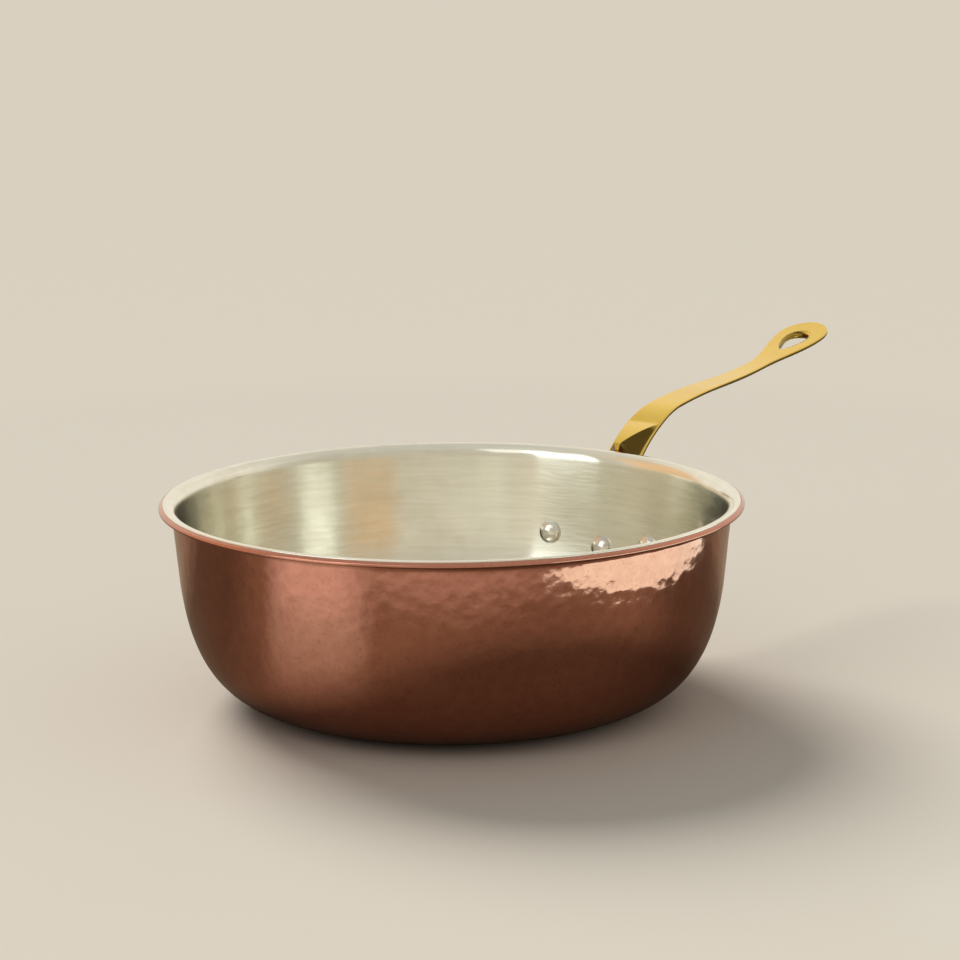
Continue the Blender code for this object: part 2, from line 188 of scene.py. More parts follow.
# %% Draw the outer face's profile
LIP_REACH = 0.0062
WALL_LEAN = 0.0027
CORNER_HEIGHT = 0.0637
CORNER_RUN = 0.0548
BASE_PULL = 0.0316
SIDE_PULL = 0.0474
LIP_DEPTH = 0.0060
LIP_TURN = math.radians(122)
LIP_END = math.radians(122.9)
COPPER_THICKNESS = 0.0018
TIN_THICKNESS = 0.0004
PACKED_GAP = 0.0003
BASE_STEPS = 5
CORNER_STEPS = 66
WALL_STEPS = 24
LIP_STEPS = 14
SKIN_GAP = 0.00002

STACK = COPPER_THICKNESS + PACKED_GAP + TIN_THICKNESS
SHELL_THICKNESS = COPPER_THICKNESS + PACKED_GAP - SKIN_GAP
WALL_TOP_RADIUS = RIM_RADIUS - LIP_REACH
WALL_FOOT_RADIUS = WALL_TOP_RADIUS - WALL_LEAN
BASE_RADIUS = WALL_FOOT_RADIUS - CORNER_RUN
LIP_START = RIM_HEIGHT - LIP_DEPTH
TAPER = WALL_LEAN / (LIP_START - CORNER_HEIGHT)


def lip_line():
    """The lip: a turn that starts along the wall, passes level and droops at its edge."""
    lean = math.atan(TAPER)
    reach = LIP_REACH - SHELL_THICKNESS / 2 * (1 - math.cos(LIP_END))
    rise = LIP_DEPTH - STACK
    line = []
    for share in shares(LIP_STEPS):
        angle = blend(lean, LIP_TURN, share)
        out = (math.cos(lean) - math.cos(angle)) / (math.cos(lean) - math.cos(LIP_TURN))
        up = (math.sin(angle) - math.sin(lean)) / (1 - math.sin(lean))
        line.append(Vector((WALL_TOP_RADIUS + reach * out, LIP_START + rise * up)))
    return line


def outer_line():
    """Radius and height of the outer face, from the base's centre to the lip's edge."""
    base = [Vector((BASE_RADIUS * step / BASE_STEPS, 0.0)) for step in range(BASE_STEPS)]
    corner = bezier(
        (BASE_RADIUS, 0.0),
        (BASE_RADIUS + BASE_PULL, 0.0),
        (WALL_FOOT_RADIUS - TAPER * SIDE_PULL, CORNER_HEIGHT - SIDE_PULL),
        (WALL_FOOT_RADIUS, CORNER_HEIGHT),
        CORNER_STEPS)
    wall = [Vector((blend(WALL_FOOT_RADIUS, WALL_TOP_RADIUS, share),
                    blend(CORNER_HEIGHT, LIP_START, share))) for share in shares(WALL_STEPS)]
    return base + corner + wall + lip_line()


print("outer face drawn with", len(outer_line()), "points")

# %% [markdown]
# The copper body
#
# The profile is closed round the copper's thickness, with a rounded bare edge at the lip, and
# turned. Then come the hammer marks. On the real pan each blow leaves a shallow dish, and the
# dishes meet in low ridges that break up every reflection. They are made in the mesh: a cell
# pattern moves each point of the outer face inward, most in the middle of a dish.

# %% Turn the copper body
BODY_STEPS = 640
EDGE_STEPS = 8
HIDDEN_EVERY = 4


def rounded_edge(start, end, outward):
    """Points of a half circle from start to end, bulging outward."""
    middle = (start + end) / 2
    across = start - middle
    return [middle + across * math.cos(angle) + outward * across.length * math.sin(angle)
            for angle in (math.pi * share for share in shares(EDGE_STEPS)[:-1])]


def thinned(line, every):
    """Fewer points for a face that stays hidden, all of them at the lip."""
    return line[:-LIP_STEPS:every] + line[-LIP_STEPS:]


def turn_copper():
    outer = outer_line()
    inner = moved_sideways(outer, SHELL_THICKNESS)
    outward = (outer[-1] - outer[-2]).normalized()
    edge = rounded_edge(outer[-1], inner[-1], outward)
    return turn(outer + edge + thinned(inner, HIDDEN_EVERY)[::-1], BODY_STEPS)


# %% Hammer the outer face
DISH_SIZE = 0.0056
DISH_DEPTH = 0.00007
DISH_SPREAD = 0.75
HAMMER_FADE = 0.004
FACING = 0.2


def hammer(skin):
    """Press shallow dishes into the outer face between the base and the lip."""
    skin.normal_update()
    dished = skin.verts.layers.float.new("dished")
    pressed = 0
    for vert in skin.verts:
        radius = math.hypot(vert.co.x, vert.co.y)
        if radius < BASE_RADIUS:
            continue
        outside = vert.normal.dot(Vector((vert.co.x / radius, vert.co.y / radius, -1.0)))
        below_lip = ease((LIP_START + HAMMER_FADE / 2 - vert.co.z) / HAMMER_FADE)
        past_base = ease((radius - BASE_RADIUS) / HAMMER_FADE)
        if outside < FACING or below_lip * past_base == 0.0:
            continue
        nearest = noise.voronoi(vert.co / DISH_SIZE)[0][0]
        dish = 1.0 - min(nearest / DISH_SPREAD, 1.0) ** 2
        vert.co -= vert.normal * DISH_DEPTH * dish * below_lip * past_base
        # Dish depth is kept for the copper's colour: the dish centres are painted darker, partly
        # tarnish and partly painted shade.
        vert[dished] = dish * below_lip * past_base
        pressed += 1
    print("hammer marks moved", pressed, "points")


copper_skin = turn_copper()
bmesh.ops.recalc_face_normals(copper_skin, faces=copper_skin.faces)
hammer(copper_skin)
copper_shell = make_piece("copper_shell", copper_skin, 60)

# %% [markdown]
# The tin lining
#
# The cook's side is coated with tin, wiped over the hot copper with a pad. The coat runs over the
# lip's crest and stops where the lip turns down, so its rolled edge shows bare copper. It is a thin
# turned shell whose edge runs down to nothing.

# %% Turn the tin coat
TIN_STEPS = 320
TIN_ROUND_STEPS = 4
BARE_LIP_STEPS = 2


def turn_tin():
    outer = outer_line()[:-BARE_LIP_STEPS]
    direction = (outer[-1] - outer[-2]).normalized()
    under = moved_sideways(outer, COPPER_THICKNESS + PACKED_GAP)
    face = moved_sideways(outer, STACK)
    edge = []
    for share in shares(TIN_ROUND_STEPS)[:-1]:
        angle = math.pi / 2 * share
        edge.append(under[-1] + direction * TIN_THICKNESS * (math.cos(angle) - 1)
                    + (face[-1] - under[-1]) * math.sin(angle))
    face[-1] = face[-1] - direction * TIN_THICKNESS
    return turn(thinned(under, HIDDEN_EVERY) + edge + face[::-1], TIN_STEPS)


tin_coat = make_piece("tin_coat", turn_tin(), 60)

# %% [markdown]
# The rivets
#
# Three solid rivets hold the handle. Each stands square to the curved wall, so the script needs
# the wall's radius and lean at a height. The heads inside the pan are high domes in a small fillet
# of tin, and those on the flange are lower.

# %% Find the wall and stand a frame on it
RIVET_DEPTH = 0.0494
RIVET_RISE = 0.0048
RIVET_SPACING = 0.0312
FLANGE_THICKNESS = 0.0030


def wall_at(height):
    """Radius of the outer face at a height, and its outward run for each rise."""
    line = outer_line()
    for lower, upper in zip(line, line[1:]):
        if lower.y <= height <= upper.y and upper.y > lower.y:
            run = (upper.x - lower.x) / (upper.y - lower.y)
            return lower.x + run * (height - lower.y), run
    return WALL_TOP_RADIUS, 0.0


def rivet_frame(angle, height):
    """Matrix whose Z axis leaves the pan square to the wall, from the outer face."""
    radius, run = wall_at(height)
    return (Matrix.Rotation(angle, 4, "Z")
            @ Matrix.Translation((radius, 0.0, height))
            @ Matrix.Rotation(math.pi / 2 + math.atan(run), 4, "Y"))


# %% Turn a rivet and stand three of them in the wall
SHANK_RADIUS = 0.0030
HEAD_RADIUS = 0.0057
INNER_HEAD_HEIGHT = 0.0034
OUTER_HEAD_HEIGHT = 0.0022
HEAD_EDGE = 0.0006
FILLET_REACH = 0.0006
RIVET_STEPS = 64
DOME_STEPS = 14
LOW_RIVET_HEIGHT = RIM_HEIGHT - RIVET_DEPTH
HIGH_RIVET_HEIGHT = LOW_RIVET_HEIGHT + RIVET_RISE
RIVET_TURN = RIVET_SPACING / wall_at(HIGH_RIVET_HEIGHT)[0]


def head_line(seat, height, sign):
    """A domed head from its fillet at the seat to the middle of the dome."""
    line = [Vector((HEAD_RADIUS + FILLET_REACH, seat)),
            Vector((HEAD_RADIUS + FILLET_REACH / 3, seat + sign * HEAD_EDGE / 3))]
    for share in shares(DOME_STEPS, 0):
        angle = math.pi / 2 * share
        line.append(Vector((
            HEAD_RADIUS * math.cos(angle),
            seat + sign * (HEAD_EDGE + (height - HEAD_EDGE) * math.sin(angle)))))
    return line


def turn_rivet(angle, height):
    inner_seat = -STACK
    outer_seat = PACKED_GAP + FLANGE_THICKNESS
    shank = [Vector((SHANK_RADIUS, inner_seat)), Vector((SHANK_RADIUS, outer_seat))]
    inner_head = head_line(inner_seat, INNER_HEAD_HEIGHT, -1)
    outer_head = head_line(outer_seat, OUTER_HEAD_HEIGHT, 1)
    rivet = turn(inner_head[::-1] + shank + outer_head, RIVET_STEPS)
    bmesh.ops.transform(rivet, matrix=rivet_frame(angle, height), verts=rivet.verts)
    return rivet


rivet_pins = {}
for side, angle, height in (("left", RIVET_TURN, HIGH_RIVET_HEIGHT),
                            ("centre", 0.0, LOW_RIVET_HEIGHT),
                            ("right", -RIVET_TURN, HIGH_RIVET_HEIGHT)):
    rivet_pins[side] = make_piece("rivet_pin_" + side, turn_rivet(angle, height), 50)

# %% [markdown]
# The handle
#
# The handle is one brass casting. Its flange lies on the wall with a rounded wing at each outer
# rivet. Above it the neck leaves the wall and carries a narrow ridge with a hollow on each side.
# Then the grip runs flat to a waist and swells to a paddle with a teardrop hole. A row of
# cross-sections describes all of it: each is extruded from the last and set in its place.

# %% Outline of the flange
WING_RADIUS = 0.0095
FLANGE_DROP = 0.0106
WING_LEAVE_ANGLE = math.radians(62)
SWEEP_OUT = 0.0120
SWEEP_UP = 0.0150
ROOT_HALF_WIDTH = 0.0107
ROOT_DEPTH = 0.0120
ARC_STEPS = 16
WING_STEPS = 26
SWEEP_STEPS = 22


def flange_outline():
    """Half-width and height along the flange's edge, from its lowest point to the neck."""
    bottom = LOW_RIVET_HEIGHT - FLANGE_DROP
    climb = HIGH_RIVET_HEIGHT - bottom
    arc_radius = (RIVET_SPACING ** 2 + climb ** 2 - WING_RADIUS ** 2) / (2 * (climb - WING_RADIUS))
    arc_end = math.asin(RIVET_SPACING / (arc_radius - WING_RADIUS))
    outline = []
    for share in shares(ARC_STEPS):
        angle = arc_end * share
        outline.append(Vector((arc_radius * math.sin(angle),
                               bottom + arc_radius * (1 - math.cos(angle)))))
    for share in shares(WING_STEPS):
        angle = blend(arc_end - math.pi / 2, WING_LEAVE_ANGLE, share)
        outline.append(Vector((RIVET_SPACING + WING_RADIUS * math.cos(angle),
                               HIGH_RIVET_HEIGHT + WING_RADIUS * math.sin(angle))))
    leave = outline[-1]
    leave_way = Vector((-math.sin(WING_LEAVE_ANGLE), math.cos(WING_LEAVE_ANGLE)))
    neck = Vector((ROOT_HALF_WIDTH, RIM_HEIGHT - ROOT_DEPTH))
    sweep = bezier(leave, leave + leave_way * SWEEP_OUT, neck - Vector((0.0, SWEEP_UP)), neck,
                   SWEEP_STEPS)
    return outline + sweep[1:]


# %% Top line of the neck and the grip
NECK_START_DEPTH = 0.0290
NECK_PULL = 0.0116
BEND_REACH = 0.0471
BEND_RISE = 0.0182
BEND_SLOPE = math.radians(9.4)
BEND_PULL = 0.0326
GRIP_PULL = 0.0525
TIP_RISE = 0.0420
TIP_SLOPE = math.radians(17.9)
TIP_PULL = 0.0799
PADDLE_REACH = 0.1849
TIP_REACH = PADDLE_REACH + 0.0157
NECK_STEPS = 70
GRIP_STEPS = 110
TIP_STEPS = 18
LAST_TIP_ANGLE = math.radians(83.5)


def along_slope(angle):
    return Vector((math.cos(angle), math.sin(angle)))


def neck_line():
    """From the wall to the bend where the grip starts, as radius and height."""
    start_height = RIM_HEIGHT - NECK_START_DEPTH
    radius, run = wall_at(start_height)
    start = Vector((radius + PACKED_GAP, start_height))
    bend = Vector((RIM_RADIUS + BEND_REACH, RIM_HEIGHT + BEND_RISE))
    up_the_wall = Vector((run, 1.0)).normalized()
    return bezier(start, start + up_the_wall * NECK_PULL,
                  bend - along_slope(BEND_SLOPE) * BEND_PULL, bend, NECK_STEPS)


def grip_line():
    """From the bend to the tip."""
    bend = Vector((RIM_RADIUS + BEND_REACH, RIM_HEIGHT + BEND_RISE))
    tip = Vector((RIM_RADIUS + TIP_REACH, RIM_HEIGHT + TIP_RISE))
    return bezier(bend, bend + along_slope(BEND_SLOPE) * GRIP_PULL,
                  tip - along_slope(TIP_SLOPE) * TIP_PULL, tip, GRIP_STEPS)


NECK = neck_line()
GRIP = grip_line()


def point_on(line, value, axis):
    """Point of a rising line where one coordinate takes a value, and the direction there."""
    last = len(line) - 1
    for index in range(last):
        before, after = line[index], line[index + 1]
        if before[axis] <= value <= after[axis]:
            share = (value - before[axis]) / (after[axis] - before[axis])
            way_in = line[index + 1] - line[max(index - 1, 0)]
            way_out = line[min(index + 2, last)] - line[index]
            way = way_in.normalized().lerp(way_out.normalized(), share)
            return before.lerp(after, share), way.normalized()
    return line[-1], (line[-1] - line[-2]).normalized()


# %% Width of the neck and the grip
SHOULDER_REACH = 0.0260
SHOULDER_HALF_WIDTH = 0.0101
BEND_HALF_WIDTH = 0.0089
WAIST_REACH = 0.1378
WAIST_HALF_WIDTH = 0.0061
PADDLE_HALF_WIDTH = 0.0145
SHOULDER = point_on(NECK, RIM_RADIUS + SHOULDER_REACH, 0)[0]
ROOT = point_on(NECK, RIM_HEIGHT - ROOT_DEPTH, 1)[0]


def grip_half_width(reach):
    """Half-width of the handle at a distance from the rim, past the root."""
    if reach >= PADDLE_REACH:
        past = min((reach - PADDLE_REACH) / (TIP_REACH - PADDLE_REACH), 1.0)
        return PADDLE_HALF_WIDTH * math.sqrt(1.0 - past * past)
    if reach >= WAIST_REACH:
        share = ease((reach - WAIST_REACH) / (PADDLE_REACH - WAIST_REACH))
        return blend(WAIST_HALF_WIDTH, PADDLE_HALF_WIDTH, share)
    if reach >= BEND_REACH:
        share = ease((reach - BEND_REACH) / (WAIST_REACH - BEND_REACH))
        return blend(BEND_HALF_WIDTH, WAIST_HALF_WIDTH, share)
    if reach >= SHOULDER_REACH:
        share = (reach - SHOULDER_REACH) / (BEND_REACH - SHOULDER_REACH)
        return blend(SHOULDER_HALF_WIDTH, BEND_HALF_WIDTH, share)
    share = (RIM_RADIUS + reach - ROOT.x) / (SHOULDER.x - ROOT.x)
    return blend(ROOT_HALF_WIDTH, SHOULDER_HALF_WIDTH, share)


# %% Where each cross-section stands
def handle_places():
    """Place, direction and half-width of each section, from the flange to the tip."""
    places = []
    for point in flange_outline():
        if point.y < NECK[0].y:
            radius, run = wall_at(point.y)
            way = Vector((run, 1.0)).normalized()
            places.append((Vector((radius + PACKED_GAP, point.y)), way, point.x))
        else:
            places.append((*point_on(NECK, point.y, 1), point.x))
    for point in NECK:
        if point.y > ROOT.y + MERGE:
            reach = point.x - RIM_RADIUS
            places.append((point, point_on(NECK, point.x, 0)[1], grip_half_width(reach)))
    reaches = [blend(BEND_REACH, PADDLE_REACH, share) for share in shares(GRIP_STEPS)]
    reaches += [blend(PADDLE_REACH, TIP_REACH, math.sin(LAST_TIP_ANGLE * share))
                for share in shares(TIP_STEPS)]
    for reach in reaches:
        places.append((*point_on(GRIP, RIM_RADIUS + reach, 0), grip_half_width(reach)))
    return places


# %% How far the ridge may stand off before it meets the pan
FRONT_DEPTH = 0.0185
FRONT_GAP = 0.0008
RIDGE_HEIGHT = 0.0112
RIDGE_LENGTH = 0.0262


def pan_fence():
    """Line the handle stays behind: up the wall, straight to the lip's edge, then upright."""
    wall = moved_sideways(outer_line(), -PACKED_GAP)
    leave_height = RIM_HEIGHT - FRONT_DEPTH
    leave = Vector((wall_at(leave_height)[0] + PACKED_GAP, leave_height))
    edge = RIM_RADIUS + FRONT_GAP
    lip = [Vector((edge, wall[-1].y)), Vector((edge, RIM_HEIGHT + RIDGE_HEIGHT))]
    return [point for point in wall if point.y < leave_height] + [leave] + lip


def room_to_pan(fence, place, way, most):
    """How far a point may move along a direction before it meets the fence."""
    room = most
    for start, end in zip(fence, fence[1:]):
        side = end - start
        cross = way.x * side.y - way.y * side.x
        if cross == 0.0:
            continue
        to_start = start - place
        along = (to_start.x * side.y - to_start.y * side.x) / cross
        share = (to_start.x * way.y - to_start.y * way.x) / cross
        if 0.0 <= share <= 1.0 and -PACKED_GAP <= along < room:
            room = max(along, 0.0)
    return room


# %% Shape of one cross-section
EDGE_ROUND = 0.0006
SIDE_THICKNESS = 0.0018
GRIP_THICKNESS = 0.0042
SPINE_DEPTH = 0.0075
SPINE_RUN = 0.0260
RIDGE_HALF_WIDTH = 0.0006
FLAT_SHARE = 0.97
FLANK_HOLLOW = 2.0
FLANK_CROWDING = 1.7
# The hollows beside the ridge, the sides and the underside get a darker brass: partly unpolished
# casting, partly painted shade.
HOLLOW_DARK_AT = 0.0025
EDGE_POLISH_AND_LIGHT = 0.5
UNDERSIDE_POLISH_AND_LIGHT = 0.4
TOP_STEPS = 14
FLANK_STEPS = 12
ROUND_STEPS = 5
UNDER_STEPS = 12


def section_polish_and_light(crest):
    """Polish and painted shade of each point of a half section: 1 on the polished top, lower in the
    hollows, on the sides and underside, where the darker brass is partly unpolished casting and
    partly painted shade.
    """
    flank = 1.0 - min(crest / HOLLOW_DARK_AT, 1.0)
    polish_and_light = [1.0] * (TOP_STEPS + 1) + [flank] * (FLANK_STEPS - 1)
    polish_and_light += [1.0] * (ROUND_STEPS - 1) + [EDGE_POLISH_AND_LIGHT] + [0.0] * (ROUND_STEPS + 2)
    return polish_and_light + [UNDERSIDE_POLISH_AND_LIGHT] * UNDER_STEPS


def half_section(half_width, top, crest, side, depth):
    """Sideways and upward places from the middle of the top to the middle of the underside."""
    inner = half_width - EDGE_ROUND
    line = [(top * share, crest) for share in shares(TOP_STEPS, 0)]
    for share in shares(FLANK_STEPS)[:-1]:
        crowded = share ** FLANK_CROWDING
        line.append((blend(top, inner, crowded), crest * (1 - crowded) ** FLANK_HOLLOW))
    angles = [math.pi / 2 * share for share in shares(ROUND_STEPS, 0)]
    line += [(inner + EDGE_ROUND * math.sin(angle), EDGE_ROUND * (math.cos(angle) - 1))
             for angle in angles]
    line += [(inner + EDGE_ROUND * math.cos(angle), EDGE_ROUND * (1 - math.sin(angle)) - side)
             for angle in angles]
    reach = min(max(inner, MERGE), ROOT_HALF_WIDTH)
    for share in shares(UNDER_STEPS):
        across = inner * math.cos(math.pi / 2 * share) if share < 1.0 else 0.0
        swell = math.cos(math.pi / 2 * min(across / reach, 1.0))
        line.append((across, -side - (depth - side) * swell))
    return line


def section_ring(place, normal, half, wrap):
    """World places of one closed section, bent round the pan where it lies on the wall."""
    mirrored = [(-across, up) for across, up in half[-2:0:-1]]
    ring = []
    for across, up in half + mirrored:
        out = place.x + normal.x * up
        height = place.y + normal.y * up
        angle = across / place.x
        wrapped = Vector((out * math.cos(angle), out * math.sin(angle), height))
        ring.append(Vector((out, across, height)).lerp(wrapped, wrap))
    return ring


# %% Shape and place of every section
def handle_rings():
    spine_foot = LOW_RIVET_HEIGHT + HEAD_RADIUS + PACKED_GAP
    fence = pan_fence()
    rings = []
    for place, way, half_width in handle_places():
        normal = Vector((-way.y, way.x))
        below = min((SHOULDER - place).length / RIDGE_LENGTH, 1.0) if place.x < SHOULDER.x else 0.0
        crest = room_to_pan(fence, place, normal, RIDGE_HEIGHT * below)
        inner = half_width - EDGE_ROUND
        top = blend(inner * FLAT_SHARE, min(RIDGE_HALF_WIDTH, inner / 2), below)
        risen = ease((place.y - spine_foot) / SPINE_RUN)
        passed = ease((place.x - RIM_RADIUS) / BEND_REACH)
        side = blend(FLANGE_THICKNESS, SIDE_THICKNESS, risen)
        depth = blend(blend(FLANGE_THICKNESS, SPINE_DEPTH, risen), GRIP_THICKNESS, passed)
        if place.x > RIM_RADIUS + PADDLE_REACH:
            depth = blend(side, depth, half_width / PADDLE_HALF_WIDTH)
        wrap = 1.0 - ease((place.y - NECK[0].y) / NECK_START_DEPTH)
        half = half_section(half_width, top, crest, side, depth)
        # Brightness of the brass at each point: the darker parts are partly unpolished casting and
        # partly painted shade.
        polish_and_light = section_polish_and_light(crest)
        rings.append((section_ring(place, normal, half, wrap), polish_and_light + polish_and_light[-2:0:-1]))
    return rings


# %% Extrude the handle from section to section
def extrude_ring(skin, ring, places):
    """Extrude a closed ring of points and set each new one in its place."""
    edges = [next(edge for edge in corner.link_edges if edge.other_vert(corner) == following)
             for corner, following in zip(ring, ring[1:] + ring[:1])]
    made = bmesh.ops.extrude_edge_only(skin, edges=edges)["geom"]
    new = {item for item in made if isinstance(item, bmesh.types.BMVert)}
    following_ring = []
    for corner, place in zip(ring, places):
        above = next(edge.other_vert(corner) for edge in corner.link_edges
                     if edge.other_vert(corner) in new)
        above.co = place
        following_ring.append(above)
    return following_ring


def stack_rings(rings):
    """A closed skin from one ring of places to the next; each ring comes with its polish and
    painted shade.
    """
    skin = bmesh.new()
    polished_and_lit = skin.verts.layers.float.new("polished_and_lit")
    places, polish_and_light = rings[0]
    ring = bmesh.ops.create_circle(skin, segments=len(places), radius=1.0)["verts"]
    for corner, spot, point_polish_and_light in zip(ring, places, polish_and_light):
        corner.co = spot
        corner[polished_and_lit] = point_polish_and_light
    bmesh.ops.contextual_create(skin, geom=ring)
    for places, polish_and_light in rings[1:]:
        ring = extrude_ring(skin, ring, places)
        for corner, point_polish_and_light in zip(ring, polish_and_light):
            corner[polished_and_lit] = point_polish_and_light
    bmesh.ops.contextual_create(skin, geom=ring)
    return skin


handle_casting = make_piece("handle_casting", stack_rings(handle_rings()), 40)

# %% [markdown]
# The hanging hole
#
# The hole is a teardrop with its point towards the pan. Its edge is eased on both faces, so the
# tool that cuts it flares: a stack of teardrop outlines, each a little wider near the surface.

# %% Outline of the hole
HOLE_POINT_BACK = 0.0214
HOLE_ROUND_PAST = 0.0033
HOLE_WIDTH = 0.0120
HOLE_POINTS = 96
WIDEST = 4 / (3 * math.sqrt(3))
LEAST_TURN = 0.5


def teardrop():
    """Outline of the hole: across it grows as sin t times sin t/2, from the point."""
    middle = RIM_RADIUS + PADDLE_REACH + (HOLE_ROUND_PAST - HOLE_POINT_BACK) / 2
    half_length = (HOLE_ROUND_PAST + HOLE_POINT_BACK) / 2
    outline = []
    for share in shares(HOLE_POINTS, 0)[:-1]:
        angle = math.tau * share
        swell = math.sin(angle) * abs(math.sin(angle / 2)) / WIDEST
        outline.append(Vector((middle - half_length * math.cos(angle), -HOLE_WIDTH / 2 * swell)))
    return outline


def widened(outline, distance):
    """A closed outline that runs anticlockwise from above, moved outward."""
    moved = []
    for index, point in enumerate(outline):
        way_in = (point - outline[index - 1]).normalized()
        way_out = (outline[(index + 1) % len(outline)] - point).normalized()
        along = (way_in + way_out).normalized()
        mitre = 1.0 / max(along.dot(way_in), LEAST_TURN)
        moved.append(point - Vector((-along.y, along.x)) * distance * mitre)
    return moved


# %% Flare the cutting tool and cut the hole
HOLE_EASE = 0.0013
EASE_STEPS = 5
LAST_EASE_ANGLE = math.radians(80)
CLEAR_OF_FACE = 0.003


def hole_levels():
    """Widening of the outline, place between underside and top, and rise above that place."""
    angles = [LAST_EASE_ANGLE * share for share in shares(EASE_STEPS, 0)]
    eased = [(HOLE_EASE * (1 - math.cos(angle)), HOLE_EASE * (math.sin(angle) - 1))
             for angle in angles]
    widest = eased[-1][0]
    upper = [(wide, 1.0, rise) for wide, rise in eased] + [(widest, 1.0, CLEAR_OF_FACE)]
    lower = [(widest, 0.0, -CLEAR_OF_FACE)] + [(wide, 0.0, -rise) for wide, rise in eased[::-1]]
    return lower + upper


def hole_ring(outline, wide, share, rise):
    """One outline of the tool, laid along the slope of the grip's top or underside."""
    ring = []
    for point in widened(outline, wide):
        top = point_on(GRIP, point.x, 0)[0].y
        reach = min(grip_half_width(point.x - RIM_RADIUS) - EDGE_ROUND, ROOT_HALF_WIDTH)
        swell = math.cos(math.pi / 2 * min(abs(point.y) / reach, 1.0))
        under = top - SIDE_THICKNESS - (GRIP_THICKNESS - SIDE_THICKNESS) * swell
        ring.append(Vector((point.x, point.y, blend(under, top, share) + rise)))
    return ring


def make_hole_tool():
    outline = teardrop()
    unpolished_and_shaded = [0.0] * HOLE_POINTS
    rings = [(hole_ring(outline, *level), unpolished_and_shaded) for level in hole_levels()]
    return make_piece("hole_tool", stack_rings(rings), 40)


def cut_away(piece, tool, crisp_angle):
    """Take the tool's shape out of the piece for good, and put the tool away."""
    boolean = piece.modifiers.new("cut", "BOOLEAN")
    boolean.operation = "DIFFERENCE"
    boolean.solver = "EXACT"
    boolean.object = tool
    bpy.context.view_layer.update()
    evaluated = piece.evaluated_get(bpy.context.evaluated_depsgraph_get())
    cut_mesh = bpy.data.meshes.new_from_object(evaluated)
    piece.modifiers.clear()
    piece.data = cut_mesh
    cut_mesh.set_sharp_from_angle(angle=math.radians(crisp_angle))
    bpy.data.objects.remove(tool)
    print(piece.name, "cut:", len(cut_mesh.polygons), "faces")


cut_away(handle_casting, make_hole_tool(), 40)

# %% [markdown]
# Shader helpers
#
# The metals share their effects: streaks that follow the polishing, soft clouds of tarnish and
# hairline scratches. Each is a node group with named inputs, so that each metal can use it at its
# own scale.

# %% Short ways to place and wire nodes
def place(tree, kind, settings=None, values=None):
    """Add one shader node, set its options, and wire or set its inputs by name."""
    made = tree.nodes.new("ShaderNode" + kind)
    for name, value in (settings or {}).items():
        setattr(made, name, value)
    for name, value in (values or {}).items():
        feed(tree, made.inputs[name], value)
    return made


def feed(tree, socket, value):
    if isinstance(value, bpy.types.NodeSocket):
        tree.links.new(value, socket)
    else:
        socket.default_value = value


def worked_out(tree, kind, operation, values):
    made = place(tree, kind, {"operation": operation})
    for socket, value in zip(made.inputs, values):
        feed(tree, socket, value)
    return made.outputs


def maths(tree, operation, *values):
    return worked_out(tree, "Math", operation, values)[0]


def vector_maths(tree, operation, *values):
    made = worked_out(tree, "VectorMath", operation, values)
    return made["Value" if operation in ("LENGTH", "DOT_PRODUCT") else "Vector"]


def stretch(tree, value, low, high, low_out=0.0, high_out=1.0):
    """Map a value from one range to another, clamped."""
    made = place(tree, "MapRange", {"interpolation_type": "SMOOTHSTEP"}, {
        "Value": value, "From Min": low, "From Max": high, "To Min": low_out, "To Max": high_out})
    return made.outputs["Result"]


def mixed(tree, share, first, second):
    made = place(tree, "Mix", {"data_type": "RGBA"})
    for index, value in ((0, share), (6, first), (7, second)):
        feed(tree, made.inputs[index], value)
    return made.outputs[2]


def noise_at(tree, vector, scale, detail, roughness=0.5):
    made = place(tree, "TexNoise", None, {
        "Vector": vector, "Scale": scale, "Detail": detail, "Roughness": roughness})
    return made.outputs["Fac"]


def object_place(tree):
    return place(tree, "TexCoord").outputs["Object"]


def colour(red, green, blue):
    return (red, green, blue, 1.0)


# %% Start a node group with named inputs and one named output
def new_group(name, inputs, output):
    group = bpy.data.node_groups.new(name, "ShaderNodeTree")
    for label, value in inputs.items():
        socket = group.interface.new_socket(label, in_out="INPUT", socket_type="NodeSocketFloat")
        socket.default_value = value
    group.interface.new_socket(output, in_out="OUTPUT", socket_type="NodeSocketFloat")
    arriving = group.nodes.new("NodeGroupInput")
    leaving = group.nodes.new("NodeGroupOutput")
    return group, arriving.outputs, leaving.inputs


def use_group(tree, group, values):
    return place(tree, "Group", {"node_tree": group}, values).outputs[0]


# %% [markdown]
# Marks that run round the pan
#
# Tin is wiped round and round, and copper is polished the same way. The marks are long round the
# pan and short across it. Dividing x and y by the radius gives a direction with no seam, and the
# profile's own length is near enough to height plus radius.

# %% Group: streaks round the upright axis
SWAY_SCALE = 0.6
SWAY_REACH = 20.0


